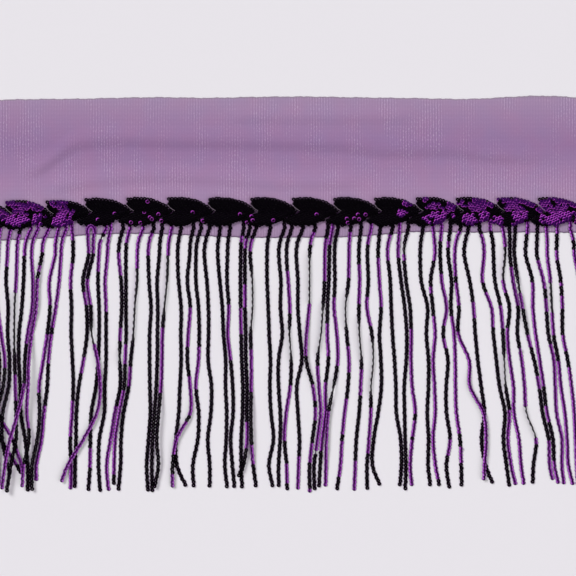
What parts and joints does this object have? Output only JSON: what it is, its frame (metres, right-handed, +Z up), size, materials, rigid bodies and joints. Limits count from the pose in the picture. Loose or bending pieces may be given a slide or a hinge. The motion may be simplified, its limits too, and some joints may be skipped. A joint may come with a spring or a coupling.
{
  "type": "sequin fringe trim",
  "caption": "Cut length of sequin fringe trim: a fine net heading with a row of sequinned leaves, and long hanging strands of overlapping two-tone sequins, lying flat.",
  "frame": {"origin": "centre of the length, midway between the net's top edge and the strand tips, on the surface that the trim lies on", "axes": "+X along the trim, +Y from the strand tips to the net's top edge, +Z up from the surface"},
  "size_m": [0.459, 0.3021, 0.0057],
  "materials": {
    "net": "fine net, matte",
    "sequins": "glossy two-tone sequins, black on one face and purple on the other"
  },
  "bodies": {
    "root": {"net": "net", "fringe": "sequins", "leaf_00": "sequins", "leaf_01": "sequins", "leaf_02": "sequins", "leaf_03": "sequins", "leaf_04": "sequins", "leaf_05": "sequins", "leaf_06": "sequins", "leaf_07": "sequins", "leaf_08": "sequins", "leaf_09": "sequins", "leaf_10": "sequins", "leaf_11": "sequins", "leaf_12": "sequins", "leaf_13": "sequins", "leaf_14": "sequins", "leaf_15": "sequins"}
  },
  "joints": []
}
